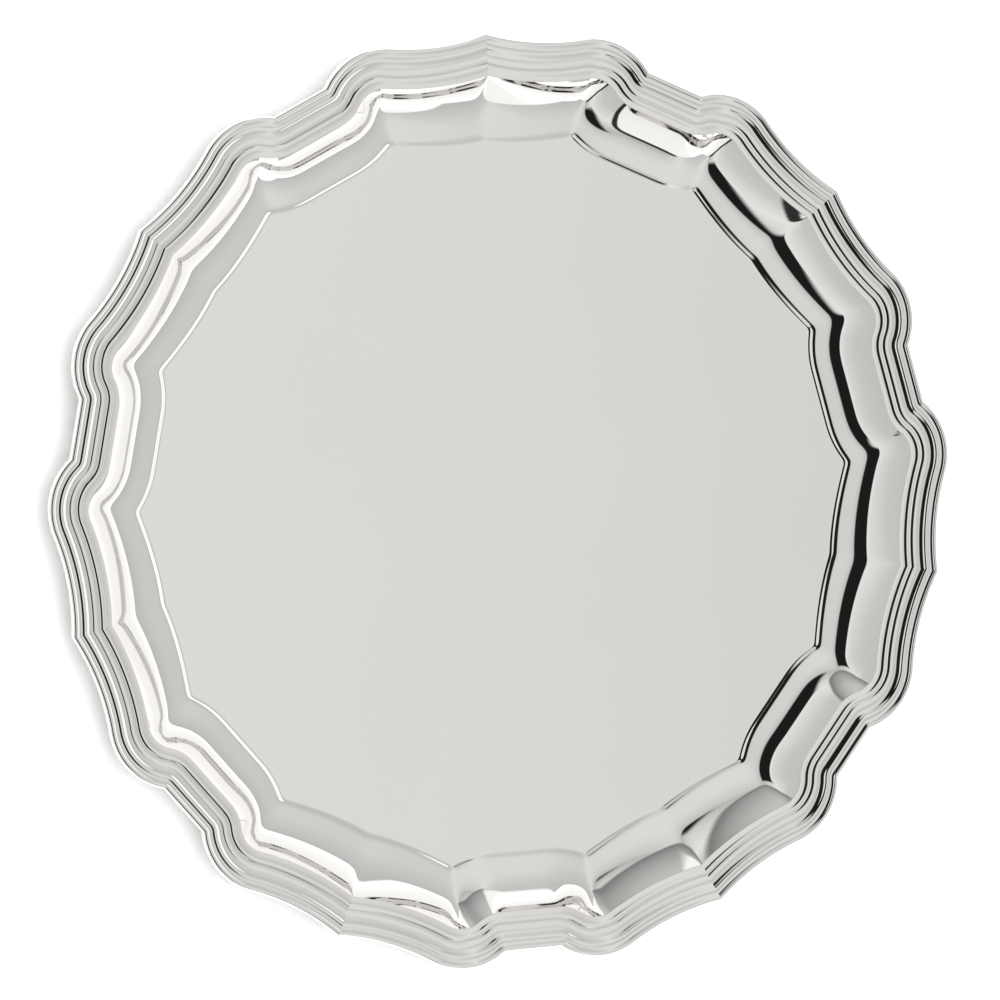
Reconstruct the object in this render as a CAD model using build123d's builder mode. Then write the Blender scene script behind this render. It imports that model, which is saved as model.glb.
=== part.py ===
from build123d import *
import os
from math import cos, radians, sin, tan

os.makedirs("parts", exist_ok=True)

# Offering plate: a flat, round, polished plate with a pie-crust border.
# Origin: centre of the underside, on the face it rests on. +Z up, a border point on +Y.
# Sizes are in mm and degrees.

# ---- driving dimensions: the plan of one repeat of the border ----
repeats = 7                  # times the pattern goes round the plate
point_radius = 150.8         # from the plate's axis to each sharp outward point
trough_setback = 4.7         # a trough's straight run lies this far inside the points
trough_half_width = 9.3      # half of that straight run, from its middle to the cusp
cusp_radius = 1.0            # small hollow round where the trough meets the lobe
lobe_radius = 22.0           # the round lobe between a cusp and a waist
lobe_turn = 36.2             # how far the outline turns out at the cusp, to start the lobe
point_flank = 17.4           # how far each waist slopes up to the point, off the round

# ---- driving dimensions: heights ----
pad_thickness = 1.0          # felt under the floor
pan_thickness = 0.9          # pressed sheet of the pan
well_depth = 11.0            # from the border's seat down to the floor

# ---- driving dimensions: the struck border, across its width ----
border_sheet = 0.4           # sheet that the border is struck from
bead_radius = 1.1            # round bead along the outer edge
bead_height = 1.05           # the bead's centre above the seat
bead_end = 70.0              # the bead's arc ends this far up from level
hollow_width = 1.7           # hollow inside the bead
reed_width = 1.65            # second reed
fall_width = 1.7             # hollow inside the second reed
inner_reed_width = 2.5       # third reed
fillet_bead_width = 2.15     # small bead beside the ogee
ogee_width = 1.8             # ogee that ends in the lip on the pan's wall
lap_width = 3.0              # edge turned under the pan, measured from the outline

# ---- driving dimensions: heights of the struck border's top above the seat ----
hollow_height = 1.6          # middle of the hollow inside the bead
hollow_end_height = 1.52     # where it meets the second reed
reed_height = 1.74           # top of the second reed
reed_end_height = 1.4        # inner edge of the second reed
fall_height = 0.95           # middle of the hollow inside it
fall_end_height = 0.74       # where that hollow meets the third reed
inner_reed_height = 0.92     # top of the third reed
groove_height = 0.55         # groove outside the small bead
fillet_bead_height = 0.95    # top of the small bead
ogee_start_height = 0.62     # inner foot of the small bead
ogee_height = 0.46           # middle of the ogee

# ---- driving dimensions: wall of the pan, and the pad ----
wall_width = 18.2            # lip to floor at the troughs and lobes
wall_width_at_point = 21.0   # lip to floor at the points
pad_radius = 108.0           # felt disc
clear_of_sheet = 2.0         # how far the cutting solids reach past the sheet

# ---- heights that follow ----
floor_under = pad_thickness
floor_top = floor_under + pan_thickness
seat = floor_top + well_depth           # the border's seat on the pan's flange
lap_top = seat - pan_thickness          # underside of the flange

# ---- places on the struck border's top: distance in from the outline, height over the seat ----
bead_end_inset = bead_radius * (1 + cos(radians(bead_end)))
hollow_end = (bead_end_inset + hollow_width, hollow_end_height)
reed_end = (hollow_end[0] + reed_width, reed_end_height)
fall_end = (reed_end[0] + fall_width, fall_end_height)
groove = (fall_end[0] + inner_reed_width, groove_height)
ogee_start = (groove[0] + fillet_bead_width, ogee_start_height)
lip = (ogee_start[0] + ogee_width, border_sheet)
hollow = (hollow_end[0] - hollow_width / 2, hollow_height)
reed = (hollow_end[0] + reed_width / 2, reed_height)
fall = (reed_end[0] + fall_width / 2, fall_height)
inner_reed = (fall_end[0] + inner_reed_width / 2, inner_reed_height)
fillet_bead = (groove[0] + fillet_bead_width / 2, fillet_bead_height)
ogee = (ogee_start[0] + ogee_width / 2, ogee_height)
lip_inset = lip[0]

# Top of the pan's wall, from lip to floor: share of the width, share of the depth, slope.
wall_stations = [
    (0.0, 0.0, 2.04),        # steep under the lip
    (0.374, 0.618, 1.34),    # still steep, before the cove
    (0.692, 0.848, 0.27),    # end of the cove
    (0.865, 0.895, 0.27),    # top of the small step round the floor
    (0.94, 0.9525, 1.25),    # the step at its steepest
    (1.0, 1.0, 0.0),         # floor
]

# ---- plan geometry of half a repeat, with the middle of the trough on +Y ----
pitch = 360 / repeats


def direction(angle):
    """Level direction at an angle from +Y, turning towards +X."""
    return Vector(sin(radians(angle)), cos(radians(angle)), 0)


trough_end = Vector(trough_half_width, point_radius - trough_setback, 0)
cusp_centre = trough_end + direction(0) * cusp_radius
lobe_start_outward = direction(-lobe_turn)
lobe_start = cusp_centre - lobe_start_outward * cusp_radius
lobe_centre = lobe_start - lobe_start_outward * lobe_radius
point = direction(pitch / 2) * point_radius
# The waist is the one arc that leaves the lobe smoothly and reaches the point at its slope.
point_outward = direction(pitch / 2 - point_flank)
lobe_to_point = point - lobe_centre
waist_radius = (lobe_to_point.dot(lobe_to_point) - lobe_radius**2) / (
    2 * (lobe_radius - point_outward.dot(lobe_to_point))
)
waist_centre = point + point_outward * waist_radius
lobe_end_outward = (waist_centre - lobe_centre).normalized()
lobe_end = lobe_centre + lobe_end_outward * lobe_radius
lobe_arc = lobe_end_outward.get_angle(lobe_start_outward)
waist_arc = lobe_end_outward.get_angle(point_outward)

upwards = Vector(0, 0, 1)


def section_plane(place, inward):
    """Upright plane across the border: its x runs inwards, its y upwards."""
    return Plane(origin=place, x_dir=inward, z_dir=inward.cross(upwards))


trough_plane = section_plane(trough_end, direction(180))
lobe_start_plane = section_plane(lobe_start, lobe_start_outward * -1)
lobe_end_plane = section_plane(lobe_end, lobe_end_outward * -1)
point_plane = Plane(origin=(0, 0, 0), x_dir=direction(pitch / 2), z_dir=direction(pitch / 2 + 90))
cusp_axis = Axis(cusp_centre, upwards)
lobe_axis = Axis(lobe_centre, upwards * -1)
waist_axis = Axis(waist_centre, upwards)
tall = 4 * (seat + bead_radius)


def follow_outline(profile):
    """Carry a profile along half a repeat: trough, cusp, lobe, waist, up to the point."""
    extrude(profile(trough_plane), amount=trough_half_width)
    revolve(profile(trough_plane), axis=cusp_axis, revolution_arc=lobe_turn)
    revolve(profile(lobe_start_plane), axis=lobe_axis, revolution_arc=lobe_arc)
    revolve(profile(lobe_end_plane), axis=waist_axis, revolution_arc=waist_arc)
    split(bisect_by=point_plane, keep=Keep.BOTTOM)
    mirror(about=Plane.YZ)


def over_seat(place):
    """A border point, given above the seat, as a point of the section plane."""
    return (place[0], seat + place[1])


def under_sheet(place):
    """The point of the struck sheet's underside below a point of its top."""
    return (place[0], seat + place[1] - border_sheet)


# ---- border sections: struck sheet, one repeat long, from point to point ----
inner_bead_radius = bead_radius - border_sheet
lap_under = lap_top - border_sheet
bead_centre = (bead_radius, seat + bead_height)
bead_start = 180                        # the bead's outermost line, level with its centre
bead_middle = (bead_start + bead_end) / 2
straight_down = 270


def on_bead(radius, angle):
    """Point of an arc round the bead's centre; 180 is outwards, 90 is up."""
    level = radius * cos(radians(angle))
    rise = radius * sin(radians(angle))
    return (bead_centre[0] + level, bead_centre[1] + rise)


def border_profile(plane):
    """Section of the struck border: reeds above, turned under the flange outside."""
    with BuildSketch(plane) as profile:
        with BuildLine():
            Line(on_bead(bead_radius, bead_start), (0, lap_under + border_sheet))
            RadiusArc((0, lap_under + border_sheet), (border_sheet, lap_under), -border_sheet)
            Polyline(
                (border_sheet, lap_under),
                (lap_width, lap_under),
                (lap_width, lap_top),
                (border_sheet, lap_top),
                on_bead(inner_bead_radius, bead_start),
            )
            ThreePointArc(
                on_bead(inner_bead_radius, bead_start),
                on_bead(inner_bead_radius, bead_middle),
                on_bead(inner_bead_radius, bead_end),
            )
            Line(on_bead(inner_bead_radius, bead_end), under_sheet(hollow_end))
            ThreePointArc(under_sheet(hollow_end), under_sheet(reed), under_sheet(reed_end))
            ThreePointArc(under_sheet(reed_end), under_sheet(fall), under_sheet(fall_end))
            ThreePointArc(under_sheet(fall_end), under_sheet(inner_reed), under_sheet(groove))
            ThreePointArc(under_sheet(groove), under_sheet(fillet_bead), under_sheet(ogee_start))
            ThreePointArc(under_sheet(ogee_start), under_sheet(ogee), under_sheet(lip))
            Line(under_sheet(lip), over_seat(lip))
            ThreePointArc(over_seat(lip), over_seat(ogee), over_seat(ogee_start))
            ThreePointArc(over_seat(ogee_start), over_seat(fillet_bead), over_seat(groove))
            ThreePointArc(over_seat(groove), over_seat(inner_reed), over_seat(fall_end))
            ThreePointArc(over_seat(fall_end), over_seat(fall), over_seat(reed_end))
            ThreePointArc(over_seat(reed_end), over_seat(reed), over_seat(hollow_end))
            ThreePointArc(over_seat(hollow_end), over_seat(hollow), on_bead(bead_radius, bead_end))
            ThreePointArc(
                on_bead(bead_radius, bead_end),
                on_bead(bead_radius, bead_middle),
                on_bead(bead_radius, bead_start),
            )
        make_face()
    return profile.sketch


with BuildPart() as border_repeat:
    follow_outline(border_profile)

for number in range(repeats):
    with BuildPart() as border_section:
        add(border_repeat.part, rotation=(0, 0, (number + 0.5) * pitch))
    label = f"border_section_{number + 1}"
    border_section.part.label = label
    export_step(border_section.part, f"parts/{label}.step")


# ---- rim wire: round wire inside the bead ----
def wire_profile(plane):
    """Section of the wire, filling the bead."""
    with BuildSketch(plane) as profile:
        with Locations(bead_centre):
            Circle(inner_bead_radius)
    return profile.sketch


with BuildPart() as wire_repeat:
    follow_outline(wire_profile)

with BuildPart() as rim_wire:
    with PolarLocations(0, repeats, start_angle=pitch / 2):
        add(wire_repeat.part)
rim_wire.part.label = "rim_wire"
export_step(rim_wire.part, "parts/rim_wire.step")


# ---- border solder: fills the struck border over the flange ----
def solder_profile(plane):
    """Section of the solder: from the flange up to the struck sheet, round the wire."""
    with BuildSketch(plane) as profile:
        with BuildLine():
            Polyline(
                under_sheet(ogee_start),
                (ogee_start[0], seat),
                (border_sheet, seat),
                on_bead(inner_bead_radius, bead_start),
            )
            ThreePointArc(
                on_bead(inner_bead_radius, bead_start),
                on_bead(inner_bead_radius, straight_down),
                on_bead(inner_bead_radius, bead_end),
            )
            Line(on_bead(inner_bead_radius, bead_end), under_sheet(hollow_end))
            ThreePointArc(under_sheet(hollow_end), under_sheet(reed), under_sheet(reed_end))
            ThreePointArc(under_sheet(reed_end), under_sheet(fall), under_sheet(fall_end))
            ThreePointArc(under_sheet(fall_end), under_sheet(inner_reed), under_sheet(groove))
            ThreePointArc(under_sheet(groove), under_sheet(fillet_bead), under_sheet(ogee_start))
        make_face()
    return profile.sketch


with BuildPart() as solder_repeat:
    follow_outline(solder_profile)

with BuildPart() as border_solder:
    with PolarLocations(0, repeats, start_angle=pitch / 2):
        add(solder_repeat.part)
border_solder.part.label = "border_solder"
export_step(border_solder.part, "parts/border_solder.step")


# ---- tray pan: pressed sheet with floor, step, coved wall and flange ----
def wall_place(station, wall):
    """A station of the wall's top, as a point of the section plane."""
    return (lip_inset + station[0] * wall, seat - station[1] * well_depth)


def wall_slope(station, wall):
    """Direction of the wall's top at a station, going down and in."""
    return (wall, -station[2] * well_depth)


def wall_back(station, wall):
    """The point of the sheet's underside behind a station of its top."""
    along = Vector(*wall_slope(station, wall)).normalized()
    place = wall_place(station, wall)
    return (place[0] + along.Y * pan_thickness, place[1] - along.X * pan_thickness)


def flange_bend(wall):
    """Where the flange's underside meets the back of the wall."""
    drop = Vector(*wall_slope(wall_stations[0], wall)).get_angle(Vector(1, 0))
    return (lip_inset - pan_thickness * tan(radians(drop / 2)), lap_top)


def wall_curves(places, wall):
    """The cove, then the small step round the floor, through one point per station."""
    slopes = [wall_slope(station, wall) for station in wall_stations]
    Spline(*places[:4], tangents=slopes[:4])
    Spline(*places[3:], tangents=slopes[3:])


def above_profile(plane, wall, reach):
    """Section of everything under the pan's top, down to the floor's underside."""
    places = [wall_place(station, wall) for station in wall_stations]
    with BuildSketch(plane) as profile:
        with BuildLine():
            Polyline((border_sheet, floor_under), (border_sheet, seat), (lip_inset, seat))
            wall_curves(places, wall)
            Polyline(places[-1], (places[-1][0], floor_under), (border_sheet, floor_under))
        make_face()
        with Locations((0, seat)):
            Rectangle(reach, tall, align=(Align.MIN, Align.CENTER), mode=Mode.INTERSECT)
    return profile.sketch


def below_profile(plane, wall, reach):
    """Section of the space under the sheet, which is cut away."""
    places = [flange_bend(wall)] + [wall_back(station, wall) for station in wall_stations[1:]]
    bottom = floor_under - clear_of_sheet
    with BuildSketch(plane) as profile:
        with BuildLine():
            Polyline((0, bottom), (0, lap_top), places[0])
            wall_curves(places, wall)
            Polyline(places[-1], (places[-1][0], bottom), (0, bottom))
        make_face()
        with Locations((0, seat)):
            Rectangle(reach, tall, align=(Align.MIN, Align.CENTER), mode=Mode.INTERSECT)
    return profile.sketch


def waist_plane(share):
    """Section plane at a share of the way along the waist's arc."""
    spoke = (lobe_end - waist_centre).rotate(Axis.Z, share * waist_arc)
    return section_plane(waist_centre + spoke, spoke.normalized())


def waist_wall(share):
    """The wall widens smoothly along the waist, up to the point."""
    blend = share * share * (3 - 2 * share)
    return wall_width + (wall_width_at_point - wall_width) * blend


def follow_wall(profile):
    """Carry a wall profile along half a repeat, as the border is, with the wider waist."""
    whole = 2 * (lip_inset + wall_width_at_point)
    extrude(profile(trough_plane, wall_width, whole), amount=trough_half_width)
    revolve(
        profile(trough_plane, wall_width, whole), axis=cusp_axis, revolution_arc=lobe_turn
    )
    revolve(
        profile(lobe_start_plane, wall_width, lobe_radius),
        axis=lobe_axis,
        revolution_arc=lobe_arc,
    )
    shares = (0, 1 / 3, 2 / 3, 1)
    loft([profile(waist_plane(share), waist_wall(share), whole) for share in shares])
    split(bisect_by=point_plane, keep=Keep.BOTTOM)
    mirror(about=Plane.YZ)


with BuildPart() as above_repeat:
    follow_wall(above_profile)

with BuildPart() as below_repeat:
    follow_wall(below_profile)

floor_blank_radius = point_radius - trough_setback - lip_inset
with BuildPart() as tray_pan:
    with PolarLocations(0, repeats, start_angle=pitch / 2):
        add(above_repeat.part)
    with Locations((0, 0, floor_under)):
        Cylinder(floor_blank_radius, pan_thickness, align=(Align.CENTER, Align.CENTER, Align.MIN))
    with PolarLocations(0, repeats, start_angle=pitch / 2):
        add(below_repeat.part, mode=Mode.SUBTRACT)
tray_pan.part.label = "tray_pan"
export_step(tray_pan.part, "parts/tray_pan.step")

# ---- base pad: felt disc under the floor ----
with BuildPart() as base_pad:
    Cylinder(pad_radius, pad_thickness, align=(Align.CENTER, Align.CENTER, Align.MIN))
base_pad.part.label = "base_pad"
export_step(base_pad.part, "parts/base_pad.step")
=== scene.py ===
# %% [markdown]
# # A polished plate with a pie-crust border
# This lesson builds the looks of a round silver-plated offering plate around its CAD model.
# The CAD model gives the sizes and the places. Blender gives the smooth mirror surfaces, the
# struck border, the felt under the base, the finishes, the light and the camera.
# A mirror shows every facet, so the visible sheet is modelled again here, much finer than CAD
# meshes are, on exactly the same arcs.

# %% Load the CAD model
import math

import bmesh
import bpy
import numpy as np
from mathutils import Matrix, Vector


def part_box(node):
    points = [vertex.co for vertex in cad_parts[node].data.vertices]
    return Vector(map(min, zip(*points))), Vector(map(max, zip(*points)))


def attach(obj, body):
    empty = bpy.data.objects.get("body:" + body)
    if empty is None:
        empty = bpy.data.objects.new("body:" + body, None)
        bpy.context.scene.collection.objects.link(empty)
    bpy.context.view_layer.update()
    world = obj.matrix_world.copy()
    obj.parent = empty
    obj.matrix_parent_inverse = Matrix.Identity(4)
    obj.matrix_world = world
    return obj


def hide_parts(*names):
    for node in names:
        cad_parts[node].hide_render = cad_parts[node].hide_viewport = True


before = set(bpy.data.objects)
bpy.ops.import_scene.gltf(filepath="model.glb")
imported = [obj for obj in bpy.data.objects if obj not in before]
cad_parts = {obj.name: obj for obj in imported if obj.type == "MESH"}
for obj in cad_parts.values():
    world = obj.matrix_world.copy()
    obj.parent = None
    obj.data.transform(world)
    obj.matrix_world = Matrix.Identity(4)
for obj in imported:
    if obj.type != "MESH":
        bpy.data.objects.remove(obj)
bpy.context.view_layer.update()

# %% [markdown]
# ## Sizes
# Heights come from the CAD pieces' boxes. The plan of one repeat is a straight trough, a small
# hollow at the cusp, a round lobe and a long hollow waist that rises to a sharp point. The
# numbers are the plate's own, in millimetres, and the point's radius is read from the CAD: the
# section opposite the +Y point spans exactly from point to point.

# %% Sizes from the frame
MM = 0.001
REPEATS = 7
PITCH = 2 * math.pi / REPEATS

pan_low, pan_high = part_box("tray_pan")
pad_low, pad_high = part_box("base_pad")
section_low, section_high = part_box("border_section_4")

POINT_RADIUS = (section_high.x - section_low.x) / 2 / math.sin(PITCH / 2) / MM
FLOOR_UNDER = pan_low.z / MM
SEAT = pan_high.z / MM
LAP_UNDER = section_low.z / MM
PAD_RADIUS = pad_high.x / MM
print("point radius", round(POINT_RADIUS, 2), "seat", round(SEAT, 2), "lap", round(LAP_UNDER, 2))

# %% Sizes of the plan, the sheet and the wall, in mm
TROUGH_SETBACK = 4.7
TROUGH_HALF_WIDTH = 9.3
CUSP_RADIUS = 1.0
LOBE_RADIUS = 22.0
LOBE_TURN = math.radians(36.2)
POINT_FLANK = math.radians(17.4)

PAN_SHEET = 0.9
BORDER_SHEET = 0.4
LAP_WIDTH = 3.0
WALL_WIDTH = 18.2
WALL_WIDTH_AT_POINT = 21.0
WELL_DEPTH = SEAT - FLOOR_UNDER - PAN_SHEET

# %% [markdown]
# ## The plan as arcs
# One repeat is mirror-symmetric, so half of it is enough. It starts in the middle of a trough on
# +Y and ends at a point. The waist is the one arc that leaves the lobe smoothly and reaches the
# point at its slope, so its radius is worked out, as in the CAD.

# %% Centres of the arcs


def direction(angle):
    """Level direction at an angle from +Y, turning towards +X."""
    return Vector((math.sin(angle), math.cos(angle), 0))


trough_end = Vector((TROUGH_HALF_WIDTH, POINT_RADIUS - TROUGH_SETBACK, 0))
cusp_centre = trough_end + direction(0) * CUSP_RADIUS
lobe_start_outward = direction(-LOBE_TURN)
lobe_start = cusp_centre - lobe_start_outward * CUSP_RADIUS
lobe_centre = lobe_start - lobe_start_outward * LOBE_RADIUS
point = direction(PITCH / 2) * POINT_RADIUS
point_outward = direction(PITCH / 2 - POINT_FLANK)
lobe_to_point = point - lobe_centre
waist_radius = (lobe_to_point.length_squared - LOBE_RADIUS**2) / (
    2 * (LOBE_RADIUS - point_outward.dot(lobe_to_point))
)
waist_centre = point + point_outward * waist_radius
lobe_end_outward = (waist_centre - lobe_centre).normalized()
lobe_arc = lobe_end_outward.angle(lobe_start_outward)
waist_arc = lobe_end_outward.angle(point_outward)
print("waist radius", round(waist_radius, 2), "mm")

# %% [markdown]
# ## Small helpers
# Operators act on whatever is selected, and loading the CAD leaves its nodes selected, so every
# piece starts with nothing selected.

# %% Helpers for selection


def nothing_selected():
    """Leave edit mode if need be and deselect every object."""
    if bpy.context.object and bpy.context.object.mode != "OBJECT":
        bpy.ops.object.mode_set(mode="OBJECT")
    bpy.ops.object.select_all(action="DESELECT")


def only(piece):
    """Select one object and make it the active one."""
    nothing_selected()
    piece.select_set(True)
    bpy.context.view_layer.objects.active = piece


def apply_modifier(piece, kind, **settings):
    """Add a modifier with its settings and apply it to the mesh."""
    only(piece)
    modifier = piece.modifiers.new(kind.lower(), kind)
    for name, value in settings.items():
        setattr(modifier, name, value)
    bpy.ops.object.modifier_apply(modifier=modifier.name)


# %% [markdown]
# ## Section of the struck border
# The border is struck from thin sheet: a round bead along the edge, two broad reeds with hollows
# between them, a small bead, and an ogee that ends in a crisp lip on the pan's wall. Outside, the
# sheet turns down and laps under the pan. Each stretch is an arc through three places, given as
# distance in from the outline and height above the seat.

# %% Places on the border's section, in mm
BEAD_RADIUS = 1.1
BEAD_HEIGHT = 1.05
BEAD_END = math.radians(70)
BEAD_MIDDLE = math.radians(125)
BEAD_START = math.radians(180)


def on_bead(radius, angle):
    """Place on an arc round the bead's centre."""
    return (BEAD_RADIUS + radius * math.cos(angle), BEAD_HEIGHT + radius * math.sin(angle))


bead_end = on_bead(BEAD_RADIUS, BEAD_END)
hollow_end = (bead_end[0] + 1.7, 1.52)
reed_end = (hollow_end[0] + 1.65, 1.4)
fall_end = (reed_end[0] + 1.7, 0.74)
groove = (fall_end[0] + 2.5, 0.55)
ogee_start = (groove[0] + 2.15, 0.62)
lip = (ogee_start[0] + 1.8, BORDER_SHEET)
LIP_INSET = lip[0]

TOP_ARCS = [
    (on_bead(BEAD_RADIUS, BEAD_START), on_bead(BEAD_RADIUS, BEAD_MIDDLE), bead_end, 14),
    (bead_end, ((bead_end[0] + hollow_end[0]) / 2, 1.6), hollow_end, 8),
    (hollow_end, ((hollow_end[0] + reed_end[0]) / 2, 1.74), reed_end, 8),
    (reed_end, ((reed_end[0] + fall_end[0]) / 2, 0.95), fall_end, 8),
    (fall_end, ((fall_end[0] + groove[0]) / 2, 0.92), groove, 9),
    (groove, ((groove[0] + ogee_start[0]) / 2, 0.95), ogee_start, 9),
    (ogee_start, ((ogee_start[0] + lip[0]) / 2, 0.46), lip, 8),
]

# %% [markdown]
# A mesh needs places, not arcs. Each arc is sampled in a few steps, finer where it is rounder, so
# that a reflection runs over the bead without a break. The underside is hidden in the solder, so
# straight stretches are enough there.

# %% Sample the section


def along_arc(start, middle, end, steps):
    """Places along the arc through three places, without the last one."""
    (ax, ay), (bx, by), (cx, cy) = start, middle, end
    twice = 2 * (ax * (by - cy) + bx * (cy - ay) + cx * (ay - by))
    a2, b2, c2 = ax * ax + ay * ay, bx * bx + by * by, cx * cx + cy * cy
    ox = (a2 * (by - cy) + b2 * (cy - ay) + c2 * (ay - by)) / twice
    oy = (a2 * (cx - bx) + b2 * (ax - cx) + c2 * (bx - ax)) / twice
    radius = math.hypot(ax - ox, ay - oy)
    first = math.atan2(ay - oy, ax - ox)
    turn = (math.atan2(cy - oy, cx - ox) - first + math.pi) % (2 * math.pi) - math.pi
    angles = [first + turn * i / steps for i in range(steps)]
    return [(ox + radius * math.cos(a), oy + radius * math.sin(a)) for a in angles]


top_places = [place for arc in TOP_ARCS for place in along_arc(*arc)] + [lip]
lap = LAP_UNDER - SEAT
under_places = [
    (LIP_INSET, 0.0),
    (ogee_start[0], ogee_start[1] - BORDER_SHEET),
    (groove[0], groove[1] - BORDER_SHEET),
    (fall_end[0], fall_end[1] - BORDER_SHEET),
    (reed_end[0], reed_end[1] - BORDER_SHEET),
    (hollow_end[0], hollow_end[1] - BORDER_SHEET),
    on_bead(BEAD_RADIUS - BORDER_SHEET, BEAD_MIDDLE),
    (BORDER_SHEET, BEAD_HEIGHT),
    (BORDER_SHEET, lap + BORDER_SHEET),
    (LAP_WIDTH, lap + BORDER_SHEET),
    (LAP_WIDTH, lap),
]
corner_start, corner_end = (BORDER_SHEET, lap), (0.0, lap + BORDER_SHEET)
corner_middle = (BORDER_SHEET * (1 - math.sqrt(0.5)), lap + BORDER_SHEET * (1 - math.sqrt(0.5)))
corner_places = along_arc(corner_start, corner_middle, corner_end, 5) + [corner_end]
section_places = top_places + under_places + corner_places
print("places round the border's section:", len(section_places))

# %% [markdown]
# ## One border section
# The section is a ring of vertices standing across the trough. It is carried along the outline
# the way a lathe or a moulding plane would: straight along half the trough by an extrusion, then
# round the centres of the cusp, the lobe and the waist by three spins. A bisect mitres the end
# at the point and closes it, and a mirror gives the other half.
# Each vertex also carries how deep in a hollow it lies, for the finish.

# %% Model one border section
TROUGH_STEPS = 3
CUSP_STEPS = 6
LOBE_STEPS = 30
WAIST_STEPS = 22


def spin_about(centre, angle, steps):
    """Spin the selected ring about an upright axis; a positive angle turns it leftwards."""
    bpy.ops.mesh.spin(steps=steps, angle=-angle, center=centre * MM, axis=(0, 0, 1))


def section_ring(name):
    """A ring of vertices in the shape of the border's section, standing across the trough."""
    nothing_selected()
    bpy.ops.mesh.primitive_circle_add(vertices=len(section_places), radius=MM)
    ring = bpy.context.object
    ring.name = name
    hollow = ring.data.attributes.new("hollow", "FLOAT", "POINT")
    for i, (inset, height) in enumerate(section_places):
        y = POINT_RADIUS - TROUGH_SETBACK - inset
        ring.data.vertices[i].co = Vector((0, y, SEAT + height)) * MM
        near = min(abs(inset - place[0]) for place in (hollow_end, fall_end, groove, lip))
        on_top = i < len(top_places)
        hollow.data[i].value = max(0.0, 1 - near / 0.45) if on_top else 0.6
    return ring


border = section_ring("struck_border")
only(border)
bpy.ops.object.mode_set(mode="EDIT")
bpy.ops.mesh.select_all(action="SELECT")
for _ in range(TROUGH_STEPS):
    step = TROUGH_HALF_WIDTH * MM / TROUGH_STEPS
    bpy.ops.mesh.extrude_region_move(TRANSFORM_OT_translate={"value": (step, 0, 0)})
spin_about(cusp_centre, LOBE_TURN, CUSP_STEPS)
spin_about(lobe_centre, -lobe_arc, LOBE_STEPS)
spin_about(waist_centre, waist_arc, WAIST_STEPS)
bpy.ops.mesh.select_all(action="SELECT")
bpy.ops.mesh.bisect(
    plane_co=(0, 0, 0), plane_no=direction(PITCH / 2 + math.pi / 2),
    use_fill=True, clear_outer=True,
)
bpy.ops.object.mode_set(mode="OBJECT")
apply_modifier(border, "MIRROR", use_axis=(True, False, False), merge_threshold=1e-6)
lo = [min(v.co[k] for v in border.data.vertices) for k in range(3)]
hi = [max(v.co[k] for v in border.data.vertices) for k in range(3)]
print("border section spans, mm:", [round((b - a) / MM, 2) for a, b in zip(lo, hi)])

# %% [markdown]
# Spins and mirrors can leave a mesh inside out, so its faces are turned outwards again. Smooth
# shading joins the small faces of the reeds, and stays sharp where real edges are.

# %% Turn its faces outwards
only(border)
bpy.ops.object.mode_set(mode="EDIT")
bpy.ops.mesh.select_all(action="SELECT")
bpy.ops.mesh.normals_make_consistent(inside=False)
bpy.ops.object.mode_set(mode="OBJECT")
bpy.ops.object.shade_smooth_by_angle(angle=math.radians(32))
print("faces in a border section:", len(border.data.polygons))

# %% [markdown]
# Seven of them go round the plate. Each copy has its own mesh, turned in place, so that every
# object stays at the origin as the CAD nodes do.

# %% Seven border sections
border_sections = []
for number in range(REPEATS):
    section = border.copy()
    section.data = border.data.copy()
    section.name = f"struck_border_{number + 1}"
    section.data.transform(Matrix.Rotation((number + 0.5) * PITCH, 4, "Z"))
    bpy.context.collection.objects.link(section)
    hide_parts(f"border_section_{number + 1}")
    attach(section, "root")
    border_sections.append(section)
bpy.data.objects.remove(border)

# %% [markdown]
# ## The pan
# The wall keeps one section all the way round, and runs parallel to the border: at each depth,
# the wall's line is the outline moved inwards. Past the lobe's own radius the lobe is used up,
# and the round from the cusp meets the waist in a crisp hip that runs down to the floor.
# A ring for each depth is worked out from the same arcs, and the columns of the mesh bend a
# little and crowd round each hip.

# %% The wall's top in section, from lip to floor
WALL_STATIONS = [(0.0, 0.0, 2.04), (0.374, 0.618, 1.34), (0.692, 0.848, 0.27),
                 (0.865, 0.895, 0.27), (0.94, 0.9525, 1.25), (1.0, 1.0, 0.0)]
STATION_STEPS = (13, 12, 4, 7, 7)


def wall_rings():
    """Share of the width and of the depth at each ring, smooth through the stations."""
    rings = []
    for (a, b, steps) in zip(WALL_STATIONS, WALL_STATIONS[1:], STATION_STEPS):
        span = b[0] - a[0]
        for i in range(steps):
            t = i / steps
            h00, h10 = 2 * t**3 - 3 * t**2 + 1, t**3 - 2 * t**2 + t
            h01, h11 = -2 * t**3 + 3 * t**2, t**3 - t**2
            depth = h00 * a[1] + h10 * span * a[2] + h01 * b[1] + h11 * span * b[2]
            rings.append((a[0] + span * t, depth))
    return rings + [(1.0, 1.0)]


# %% [markdown]
# The plan of each ring is kept as a radius for every angle of half a repeat. Where two stretches
# cross, the one nearer the middle is the wall, so the plan is simply the least of the three.

# %% Plan of the trough, the lobe and the waist at any depth
FINE = 600
ANGLES = np.linspace(0, PITCH / 2, 2000)


def polar(x, y):
    """Angle from +Y and radius of places."""
    return np.arctan2(x, y), np.hypot(x, y)


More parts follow.
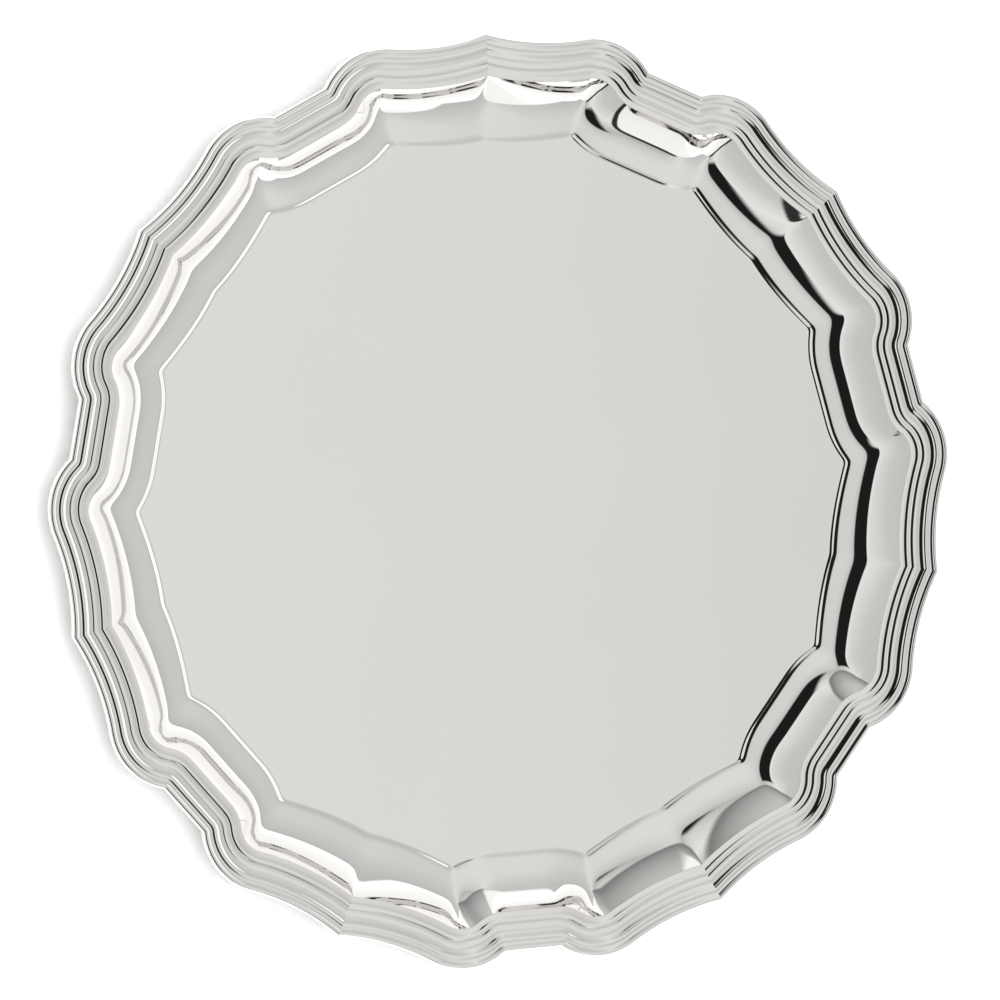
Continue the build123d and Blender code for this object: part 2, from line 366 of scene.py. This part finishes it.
def cusp_side(inset):
    """Radius by angle of the trough and of the round from the cusp, at an inset."""
    x = np.linspace(0, TROUGH_HALF_WIDTH, FINE)
    turn = np.linspace(0, LOBE_TURN, FINE)
    reach = CUSP_RADIUS + inset
    x = np.concatenate([x, cusp_centre.x + reach * np.sin(turn)])
    y = np.concatenate([np.full(FINE, trough_end.y - inset), cusp_centre.y - reach * np.cos(turn)])
    angle, radius = polar(x, y)
    return np.interp(ANGLES, angle, radius, right=np.inf)


def lobe_side(inset):
    """Radius by angle of what is left of the lobe at an inset."""
    if inset >= LOBE_RADIUS:
        return np.full(len(ANGLES), np.inf)
    turn = np.linspace(-LOBE_TURN, lobe_arc - LOBE_TURN, FINE)
    left = LOBE_RADIUS - inset
    angle, radius = polar(lobe_centre.x + left * np.sin(turn), lobe_centre.y + left * np.cos(turn))
    return np.interp(ANGLES, angle, radius, left=np.inf, right=np.inf)


def waist_side(share, extra):
    """Radius by angle of the waist, whose wall widens smoothly up to the point."""
    part = np.linspace(0, 1, FINE)
    wall = WALL_WIDTH + (WALL_WIDTH_AT_POINT - WALL_WIDTH) * part**2 * (3 - 2 * part)
    reach = waist_radius + LIP_INSET + share * wall + extra
    turn = lobe_arc - LOBE_TURN - part * waist_arc
    x = waist_centre.x - reach * np.sin(turn)
    y = waist_centre.y - reach * np.cos(turn)
    angle, radius = polar(x, y)
    return np.interp(ANGLES, angle, radius, left=np.inf)


# %% [markdown]
# Pressing rounds the corners of the plan: not at all at the lip, where the border's edge is
# crisp, most of all half-way down, and a little less at the floor. The rounding is a running
# average over a bell-shaped reach.

# %% Round the corners and place the columns
HALF_COLUMNS = 60
HIP_ROUNDING = 1.9
CROWD_AT_HIP, REACH_AT_HIP = 3.5, 0.03
CROWD_AT_POINT, REACH_AT_POINT = 2.5, 0.025


def rounding(share):
    """Reach of the rounding in mm at a share of the wall's width."""
    swell = math.sin(math.pi * min(1, 0.1 + 0.75 * share))
    return HIP_ROUNDING * swell * min(1, 5 * share)


def rounded(line, reach):
    """A half-repeat line with its corners rounded over a reach in mm."""
    if reach < 0.05:
        return line
    step = POINT_RADIUS * (ANGLES[1] - ANGLES[0])
    count = int(3 * reach / step)
    weights = np.exp(-0.5 * (np.arange(-count, count + 1) * step / reach) ** 2)
    both_ends = np.concatenate([line[count:0:-1], line, line[-2:-count - 2:-1]])
    return np.convolve(both_ends, weights / weights.sum(), mode="valid")


def column_angles(hip):
    """Angles of the mesh's columns, closer together at the hip and at the point."""
    crowd = 1 + CROWD_AT_HIP * np.exp(-((ANGLES - hip) / REACH_AT_HIP) ** 2)
    crowd += CROWD_AT_POINT * np.exp(-((ANGLES - PITCH / 2) / REACH_AT_POINT) ** 2)
    passed = np.concatenate([[0], np.cumsum(crowd[1:] + crowd[:-1])])
    return np.interp(np.linspace(0, passed[-1], HALF_COLUMNS + 1), passed, ANGLES)


def ring_line(share, extra):
    """Column angles and radii of half a repeat: share of the wall's width, and extra mm."""
    inset = LIP_INSET + share * WALL_WIDTH + extra
    near, far = cusp_side(inset), waist_side(share, extra)
    line = np.minimum(np.minimum(near, far), lobe_side(inset))
    hip = math.atan2(lobe_centre.x, lobe_centre.y)
    if inset > LOBE_RADIUS:
        hip = ANGLES[np.argmax(far < near)]
    columns = column_angles(hip)
    return columns, np.interp(columns, ANGLES, rounded(line, rounding(share)))


# %% [markdown]
# The mesh starts as a circle with one vertex per column. Each new ring is extruded from the last
# and laid on its line: the flange under the border, the lip, the wall, the small step, and the
# edge of the floor. The floor then shrinks in a few flat rings to its middle, where the last one
# is merged. A Solidify modifier gives the sheet its thickness.

# %% Lay the rings of the pan
COLUMNS = 2 * HALF_COLUMNS * REPEATS
FLANGE_EDGE = 0.6
FLOOR = SEAT - WELL_DEPTH
FLOOR_RIMS = (0.25, 2.5)
FLOOR_SHRINKS = (0.8, 0.6, 0.4)


def lay_ring(mesh, share, extra, height):
    """Put the selected ring of the mesh on its line at a height, all in mm."""
    columns, radii = ring_line(share, extra)
    angle = np.concatenate([-columns[:0:-1], columns[:-1]])
    radius = np.concatenate([radii[:0:-1], radii[:-1]])
    bm = bmesh.from_edit_mesh(mesh)
    column = bm.verts.layers.int["column"]
    for v in bm.verts:
        if v.select:
            repeat, place = divmod(v[column], 2 * HALF_COLUMNS)
            around = (repeat + 0.5) * PITCH + angle[place]
            level = direction(around) * radius[place]
            v.co = Vector((level.x, level.y, height)) * MM
    bmesh.update_edit_mesh(mesh)


nothing_selected()
bpy.ops.mesh.primitive_circle_add(vertices=COLUMNS, radius=POINT_RADIUS * MM)
pan = bpy.context.object
pan.name = "pressed_pan"
number = pan.data.attributes.new("column", "INT", "POINT")
for i in range(COLUMNS):
    number.data[i].value = i
bpy.ops.object.mode_set(mode="EDIT")
bpy.ops.mesh.select_all(action="SELECT")
lay_ring(pan.data, 0, FLANGE_EDGE - LIP_INSET, SEAT)
for share, depth in wall_rings():
    bpy.ops.mesh.extrude_region_move()
    lay_ring(pan.data, share, 0, SEAT - depth * WELL_DEPTH)
for extra in FLOOR_RIMS:
    bpy.ops.mesh.extrude_region_move()
    lay_ring(pan.data, 1, extra, FLOOR)
for size in FLOOR_SHRINKS:
    bpy.ops.mesh.extrude_region_move()
    bpy.ops.transform.resize(value=(size, size, 1), center_override=(0, 0, FLOOR * MM))
bpy.ops.mesh.extrude_region_move()
bpy.ops.mesh.merge(type="CENTER")
bpy.ops.mesh.select_all(action="SELECT")
bpy.ops.mesh.normals_make_consistent(inside=False)
bpy.ops.object.mode_set(mode="OBJECT")
top_face = max(pan.data.polygons, key=lambda face: face.area)
print("faces in the pan's top:", len(pan.data.polygons))
print("its floor looks", "up" if top_face.normal.z > 0 else "down")

# %% [markdown]
# The top must look upwards before the sheet gets its thickness, because Solidify adds the other
# side behind it. The back gets a material slot of its own: it isn't polished as the face is.

# %% Give the pan its thickness
only(pan)
if top_face.normal.z < 0:
    bpy.ops.object.mode_set(mode="EDIT")
    bpy.ops.mesh.flip_normals()
    bpy.ops.object.mode_set(mode="OBJECT")
for _ in ("face", "back"):
    pan.data.materials.append(None)
apply_modifier(
    pan, "SOLIDIFY", thickness=PAN_SHEET * MM, offset=-1, use_even_offset=True,
    material_offset=1, material_offset_rim=1,
)
bpy.ops.object.shade_smooth_by_angle(angle=math.radians(32))
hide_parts("tray_pan")
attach(pan, "root")
print("pan faces with thickness:", len(pan.data.polygons))

# %% [markdown]
# ## The felt under the base
# A thin disc of wool felt is glued under the floor. It starts as a flat cylinder, and its edges
# are rounded a little, as cut felt is.

# %% Model the felt disc
FELT_EDGE = 0.3
pad_thickness = pad_high.z - pad_low.z
nothing_selected()
bpy.ops.mesh.primitive_cylinder_add(
    vertices=180, radius=PAD_RADIUS * MM, depth=pad_thickness,
    location=(0, 0, pad_low.z + pad_thickness / 2),
)
felt = bpy.context.object
felt.name = "felt_disc"
bpy.ops.object.transform_apply(location=True, rotation=True, scale=True)
bpy.ops.object.mode_set(mode="EDIT")
bpy.ops.mesh.select_all(action="SELECT")
bpy.ops.mesh.bevel(offset=FELT_EDGE * MM, segments=3, affect="EDGES")
bpy.ops.object.mode_set(mode="OBJECT")
bpy.ops.object.shade_smooth_by_angle(angle=math.radians(40))
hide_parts("base_pad")
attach(felt, "root")
print("felt, mm thick:", round(pad_thickness / MM, 2), "across:", round(2 * PAD_RADIUS, 1))

# %% [markdown]
# ## Finishes
# Silver plate is a metal with a slightly warm white colour. What makes it look real is small:
# a haze of fine polishing lines, a roughness that drifts over the surface, and a little more
# colour where the polishing cloth can't reach, down in the hollows of the border.

# %% Node helpers


def fresh_material(name, **values):
    """A Principled material with the given socket values."""
    material = bpy.data.materials.new(name)
    material.use_nodes = True
    shader = material.node_tree.nodes["Principled BSDF"]
    for socket, value in values.items():
        shader.inputs[socket.replace("_", " ")].default_value = value
    return material, material.node_tree.nodes, material.node_tree.links, shader


def noise(nodes, links, vector, scale, detail, roughness=0.5):
    """A noise texture on a vector socket."""
    texture = nodes.new("ShaderNodeTexNoise")
    texture.inputs["Scale"].default_value = scale
    texture.inputs["Detail"].default_value = detail
    texture.inputs["Roughness"].default_value = roughness
    links.new(vector, texture.inputs["Vector"])
    return texture.outputs["Fac"]


def between(nodes, links, value, low, high, from_low=0.0, from_high=1.0):
    """Map a value from one range to another."""
    span = nodes.new("ShaderNodeMapRange")
    links.new(value, span.inputs["Value"])
    span.inputs["From Min"].default_value = from_low
    span.inputs["From Max"].default_value = from_high
    span.inputs["To Min"].default_value = low
    span.inputs["To Max"].default_value = high
    return span.outputs["Result"]


def multiplied(nodes, links, first, second):
    """The product of two values."""
    product = nodes.new("ShaderNodeMath")
    product.operation = "MULTIPLY"
    links.new(first, product.inputs[0])
    links.new(second, product.inputs[1])
    return product.outputs["Value"]


def two_colours(nodes, links, amount, first, second):
    """From the first colour to the second as the amount goes from 0 to 1."""
    mix = nodes.new("ShaderNodeMix")
    mix.data_type = "RGBA"
    mix.inputs["A"].default_value = (*first, 1)
    mix.inputs["B"].default_value = (*second, 1)
    links.new(amount, mix.inputs["Factor"])
    return mix.outputs["Result"]


def add_bump(nodes, links, shader, height, strength, distance):
    """Bump on a shader by a height value; distance is in metres."""
    bump = nodes.new("ShaderNodeBump")
    bump.inputs["Strength"].default_value = strength
    bump.inputs["Distance"].default_value = distance
    links.new(height, bump.inputs["Height"])
    links.new(bump.outputs["Normal"], shader.inputs["Normal"])


# %% [markdown]
# A polishing cloth leaves fine parallel lines. They are noise stretched a good deal one way, in
# two directions that cross, and they show most where the surface is already a little worn.

# %% Lines of the polishing cloth
LINE_STRETCH = 40
FIRST_WIPE, FIRST_SCALE = 0.7, 90
SECOND_WIPE, SECOND_SCALE = -0.9, 70


def polishing_lines(nodes, links, place, angle, scale):
    """Fine parallel wipes of the polishing cloth, turned to an angle."""
    turned = nodes.new("ShaderNodeMapping")
    turned.inputs["Rotation"].default_value = (0, 0, angle)
    turned.inputs["Scale"].default_value = (1, LINE_STRETCH, 1)
    links.new(place, turned.inputs["Vector"])
    return noise(nodes, links, turned.outputs["Vector"], scale, 2)


def polishing(nodes, links, place):
    """Slow drift over the surface, and how worn it is by crossing wipes."""
    drift = noise(nodes, links, place, 14, 3)
    wipes = polishing_lines(nodes, links, place, FIRST_WIPE, FIRST_SCALE)
    cross = polishing_lines(nodes, links, place, SECOND_WIPE, SECOND_SCALE)
    both = multiplied(nodes, links, wipes, cross)
    return drift, multiplied(nodes, links, both, drift)


# %% [markdown]
# One recipe makes three silvers: the mirror face, the duller back, and the struck border, where
# the colour and the roughness also follow the hollows that were marked on the section.

# %% Silver
HOLLOW_COLOUR = 0.45
HOLLOW_ROUGHNESS = 0.12
SILVER = (0.945, 0.93, 0.905)
SOFT_SILVER = (0.9, 0.885, 0.85)
TARNISHED = (0.74, 0.71, 0.65)


def silver(name, roughness, haze, colour, deep_colour, use_hollow):
    """Polished silver plate. haze is how much rougher the roughest patches are."""
    material, nodes, links, shader = fresh_material(name, Metallic=1.0)
    place = nodes.new("ShaderNodeTexCoord").outputs["Object"]
    drift, worn = polishing(nodes, links, place)
    rough = between(nodes, links, worn, roughness, roughness + haze, 0.04, 0.28)
    amount = between(nodes, links, drift, 0.0, 0.25, 0.35, 0.75)
    if use_hollow:
        deep = nodes.new("ShaderNodeAttribute")
        deep.attribute_name = "hollow"
        amount = between(nodes, links, deep.outputs["Fac"], 0.0, HOLLOW_COLOUR)
        added = nodes.new("ShaderNodeMath")
        added.operation = "MULTIPLY_ADD"
        links.new(amount, added.inputs[0])
        added.inputs[1].default_value = HOLLOW_ROUGHNESS
        links.new(rough, added.inputs[2])
        rough = added.outputs["Value"]
    links.new(two_colours(nodes, links, amount, colour, deep_colour), shader.inputs["Base Color"])
    links.new(rough, shader.inputs["Roughness"])
    add_bump(nodes, links, shader, worn, 0.02, 0.0002)
    return material


pan.data.materials[0] = silver("mirror_silver", 0.015, 0.05, SILVER, SOFT_SILVER, False)
pan.data.materials[1] = silver("plated_back", 0.16, 0.2, SOFT_SILVER, TARNISHED, False)
border_silver = silver("struck_silver", 0.02, 0.05, SILVER, TARNISHED, True)
for section in border_sections:
    section.data.materials.append(border_silver)
print("border sections finished:", len(border_sections))

# %% [markdown]
# Felt is matted wool: short fibres in every direction, with a soft sheen at grazing angles.
# Two noises, at the size of fibres and of clumps, vary the colour, and the fibres are the bump.

# %% Felt
DEEP_GREEN = (0.02, 0.07, 0.045)
FIBRE_GREEN = (0.07, 0.16, 0.11)
felt_material, nodes, links, shader = fresh_material("wool_felt", Roughness=0.95)
shader.inputs["Sheen Weight"].default_value = 0.5
shader.inputs["Sheen Roughness"].default_value = 0.6
place = nodes.new("ShaderNodeTexCoord").outputs["Object"]
fibres = noise(nodes, links, place, 1500, 6, 0.75)
clumps = noise(nodes, links, place, 160, 3)
matted = between(nodes, links, multiplied(nodes, links, fibres, clumps), 0, 1, 0.12, 0.4)
links.new(two_colours(nodes, links, matted, DEEP_GREEN, FIBRE_GREEN), shader.inputs["Base Color"])
add_bump(nodes, links, shader, fibres, 0.6, 0.0003)
felt.data.materials.append(felt_material)

# %% [markdown]
# The wire and the solder are inside the border and come from the CAD as they are. They still get
# the finish they have: brass and grey solder, both with a fine grainy skin.

# %% Wire and solder


def hidden_metal(name, colour, dark, roughness, scale):
    """A plain metal with a grainy change of colour and roughness."""
    material, nodes, links, shader = fresh_material(name, Metallic=1.0)
    grain = noise(nodes, links, nodes.new("ShaderNodeTexCoord").outputs["Object"], scale, 5)
    patches = between(nodes, links, grain, 0, 1, 0.3, 0.7)
    links.new(two_colours(nodes, links, patches, dark, colour), shader.inputs["Base Color"])
    rough = between(nodes, links, grain, roughness, roughness + 0.2)
    links.new(rough, shader.inputs["Roughness"])
    return material


def refinish(node, material):
    """Give a CAD node one new material."""
    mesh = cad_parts[node].data
    mesh.materials.clear()
    mesh.materials.append(material)


BRASS, DARK_BRASS = (0.78, 0.58, 0.3), (0.6, 0.42, 0.2)
SOLDER, DARK_SOLDER = (0.6, 0.6, 0.58), (0.42, 0.42, 0.41)
refinish("rim_wire", hidden_metal("drawn_brass", BRASS, DARK_BRASS, 0.25, 900))
refinish("border_solder", hidden_metal("soft_solder", SOLDER, DARK_SOLDER, 0.45, 700))

# %% [markdown]
# ## Floor and light
# The plate lies on a plain white floor in a bright tent of light. A mirror shows its
# surroundings, so the tent matters more than the lamps. Its ceiling is a soft grey, brightest over
# the middle, its far sides are white, and it has one dark gap, a tall slot for looking in, which
# gives the walls facing it their black lines.

# %% Floor
FLOOR_DROP = 0.2
nothing_selected()
bpy.ops.mesh.primitive_plane_add(size=8, location=(0, 0, -FLOOR_DROP * MM))
floor = bpy.context.object
floor.name = "white_floor"
floor_material, nodes, links, shader = fresh_material("white_paper", Roughness=0.9)
shader.inputs["Base Color"].default_value = (0.92, 0.92, 0.92, 1)
floor.data.materials.append(floor_material)

# %% [markdown]
# The tent is the world's colour by direction. Two angles are enough: tilt, from straight up
# towards the right, and lean, out of that upright plane. A colour ramp gives the brightness along
# the tilt, and soft steps mark off the slot and the sides.

# %% Helpers for the tent
world = bpy.data.worlds.new("light_tent")
bpy.context.scene.world = world
world.use_nodes = True
nodes, links = world.node_tree.nodes, world.node_tree.links
background = nodes["Background"]
way = nodes.new("ShaderNodeTexCoord").outputs["Generated"]
parts = nodes.new("ShaderNodeSeparateXYZ")
links.new(way, parts.inputs["Vector"])


def world_math(operation, first, second=0.0):
    """A Math node in the world on sockets or numbers."""
    node = nodes.new("ShaderNodeMath")
    node.operation = operation
    for socket, value in zip(node.inputs, (first, second)):
        if isinstance(value, float):
            socket.default_value = value
        else:
            links.new(value, socket)
    return node.outputs["Value"]


def world_ramp(value, stops):
    """Brightness by an angle in degrees, through stops of (degrees, brightness)."""
    share = world_math("ADD", world_math("MULTIPLY", value, 1 / math.pi), 0.5)
    ramp = nodes.new("ShaderNodeValToRGB")
    elements = ramp.color_ramp.elements
    elements[0].position, elements[0].color = 0.5 + stops[0][0] / 180, (*[stops[0][1]] * 3, 1)
    elements[1].position, elements[1].color = 0.5 + stops[-1][0] / 180, (*[stops[-1][1]] * 3, 1)
    for degrees, level in stops[1:-1]:
        elements.new(0.5 + degrees / 180).color = (level, level, level, 1)
    links.new(share, ramp.inputs["Fac"])
    return ramp.outputs["Color"]


def edge(value, start, end):
    """A soft step from 0 to 1 between two angles in degrees."""
    span = nodes.new("ShaderNodeMapRange")
    span.interpolation_type = "SMOOTHSTEP"
    links.new(value, span.inputs["Value"])
    span.inputs["From Min"].default_value = math.radians(start)
    span.inputs["From Max"].default_value = math.radians(end)
    return span.outputs["Result"]


def blend(amount, first, second):
    """Mix two brightnesses by an amount from 0 to 1."""
    mix = nodes.new("ShaderNodeMix")
    mix.data_type = "RGBA"
    links.new(amount, mix.inputs["Factor"])
    for socket, value in zip((mix.inputs["A"], mix.inputs["B"]), (first, second)):
        if isinstance(value, float):
            socket.default_value = (value, value, value, 1)
        else:
            links.new(value, socket)
    return mix.outputs["Result"]


# %% Tent of light
CEILING = [
    (-90, 0.54), (-66, 0.6), (-44, 0.82), (-30, 0.7), (-8, 0.5), (-2, 0.62), (8, 0.72),
    (13, 0.76), (18, 0.73), (22, 0.67), (30, 0.62), (38, 0.6), (64, 0.53), (90, 0.55),
]
WHITE_SIDES = [(-90, 0.9), (-40, 0.95), (40, 1.0), (66, 1.3), (76, 1.05), (90, 0.95)]
GREY_SIDE = [(-90, 0.3), (55, 0.12), (60, 0.22), (66, 0.36), (76, 0.5), (90, 0.62)]
SLOT_LEFT, SLOT_RIGHT, SLOT_ENDS = (-43, -41), (-6, -9), (46, 36)
SLOT_LIGHT = 0.012
SEAM_LIGHT = 0.03

tilt = world_math("ARCTAN2", parts.outputs["X"], parts.outputs["Z"])
lean = world_math("ARCSINE", parts.outputs["Y"])
lean_size = world_math("ABSOLUTE", lean)
slot = world_math("MULTIPLY", edge(tilt, *SLOT_LEFT), edge(tilt, *SLOT_RIGHT))
slot = world_math("MULTIPLY", slot, edge(lean_size, *SLOT_ENDS))
seam = world_math("MULTIPLY", edge(lean, -60, -62), edge(tilt, 10, 0))
grey_side = world_math("MULTIPLY", edge(lean, 56, 60), edge(tilt, 16, 4))
white_side = world_math("MAXIMUM", edge(tilt, 64, 67), edge(lean_size, 66, 68))
light = blend(slot, world_ramp(tilt, CEILING), SLOT_LIGHT)
light = blend(seam, light, SEAM_LIGHT)
light = blend(white_side, light, world_ramp(tilt, WHITE_SIDES))
light = blend(grey_side, light, world_ramp(lean, GREY_SIDE))
links.new(light, background.inputs["Color"])
print("nodes in the tent:", len(nodes))

# %% [markdown]
# The tent alone leaves the floor grey. One large soft lamp over the plate makes it white, and
# mirrors don't see the lamp, so it adds no spot to the silver.

# %% Lamp for the floor
LAMP_PLACE = Vector((0.1, 0.1, 2.2))
lamp_data = bpy.data.lights.new("soft_overhead", "AREA")
lamp_data.size = 3.0
lamp_data.energy = 95
lamp = bpy.data.objects.new("soft_overhead", lamp_data)
bpy.context.collection.objects.link(lamp)
lamp.location = LAMP_PLACE
lamp.rotation_mode = "QUATERNION"
lamp.rotation_quaternion = LAMP_PLACE.to_track_quat("Z", "Y")
lamp.visible_glossy = False

# %% [markdown]
# ## Camera
# The camera looks down on the plate from far away through a long lens, tilted about eighteen
# degrees towards the plate's left side, so that the left wall is seen flatter than the right.

# %% Camera
LOOK_TILT = math.radians(17.61)
LOOK_AROUND = math.radians(167.5)
LOOK_DISTANCE = 1.908
PICTURE_UP = Vector((0.0539, 0.9985, 0))
LOOK_OFFSET = (-3.26 * MM, 0.28 * MM)
towards = Vector((
    math.sin(LOOK_TILT) * math.cos(LOOK_AROUND),
    math.sin(LOOK_TILT) * math.sin(LOOK_AROUND),
    math.cos(LOOK_TILT),
))
right = PICTURE_UP.cross(towards).normalized()
up = towards.cross(right)
aim = Vector((0, 0, SEAT + BEAD_HEIGHT)) * MM + right * LOOK_OFFSET[0] + up * LOOK_OFFSET[1]
camera_data = bpy.data.cameras.new("camera")
camera_data.lens = 212.5
camera_data.sensor_width = 36
camera_data.clip_end = 50
camera = bpy.data.objects.new("camera", camera_data)
bpy.context.collection.objects.link(camera)
place = aim + towards * LOOK_DISTANCE
camera.matrix_world = Matrix((
    (right.x, up.x, towards.x, place.x),
    (right.y, up.y, towards.y, place.y),
    (right.z, up.z, towards.z, place.z),
    (0, 0, 0, 1),
))
bpy.context.scene.camera = camera
bpy.context.scene.view_settings.view_transform = "Standard"
